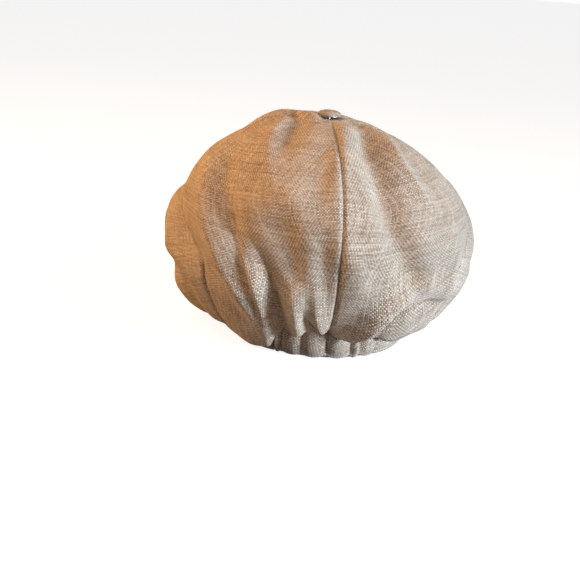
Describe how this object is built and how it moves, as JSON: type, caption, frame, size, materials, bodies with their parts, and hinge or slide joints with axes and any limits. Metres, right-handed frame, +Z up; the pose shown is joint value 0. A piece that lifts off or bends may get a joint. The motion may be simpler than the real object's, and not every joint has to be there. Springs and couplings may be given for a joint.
{
  "type": "newsboy cap",
  "caption": "Soft newsboy cap with a puffed panelled crown, cloth-covered top button, stiff curved peak and an elasticated back band.",
  "frame": {"origin": "centre of the head opening, in the plane of the hem that the cap rests on", "axes": "+Z up towards the top button, -Y towards the front where the peak is, +X the wearer's left"},
  "size_m": [0.282, 0.3045, 0.1969],
  "materials": {
    "linen": "coarse heathered natural linen, plain weave with slubs",
    "lining": "smooth satin-weave lining, slight sheen",
    "sweatband": "cotton twill tape, matt",
    "interfacing": "stiff non-woven interfacing",
    "label": "plain woven label, blank",
    "elastic": "ribbed braided elastic",
    "board": "moulded peak board",
    "button_metal": "pressed button shell and back",
    "thread": "sewing thread"
  },
  "bodies": {
    "cap": {"band_interfacing": "interfacing", "button_backing": "interfacing", "crown_panel_back_left": "linen", "crown_panel_back_right": "linen", "crown_panel_front_left": "linen", "crown_panel_front_right": "linen", "crown_panel_side_left": "linen", "crown_panel_side_right": "linen", "elastic_tack_left": "thread", "elastic_tack_right": "thread", "hem_band": "linen", "lining_panel_back_left": "lining", "lining_panel_back_right": "lining", "lining_panel_front_left": "lining", "lining_panel_front_right": "lining", "lining_panel_side_left": "lining", "lining_panel_side_right": "lining", "size_label_blank": "label", "sweatband": "sweatband"},
    "back_band": {"elastic_casing_left": "linen", "elastic_casing_right": "linen", "casing_facing": "lining", "elastic_strip": "elastic"},
    "peak": {"peak_top_cover": "linen", "peak_board": "board", "peak_under_cover": "linen"},
    "button": {"button_cover": "linen", "button_shell": "button_metal", "button_back_plate": "button_metal", "button_shank": "thread"}
  },
  "joints": [
    {"name": "peak_flex", "type": "hinge", "parent": "cap", "child": "peak", "pos_m": [0, -0.095, 0.013], "axis": [-1, 0, 0], "range_deg": [-4, 10], "stiffness_Nm_per_rad": 0.6},
    {"name": "elastic_stretch", "type": "slide", "parent": "cap", "child": "back_band", "axis": [0, 1, 0], "range_m": [0, 0.016], "stiffness_N_per_m": 200},
    {"name": "button_tilt", "type": "hinge", "parent": "cap", "child": "button", "pos_m": [0, 0, 0.19], "axis": [1, 0, 0], "range_deg": [-6, 6], "stiffness_Nm_per_rad": 0.02}
  ]
}
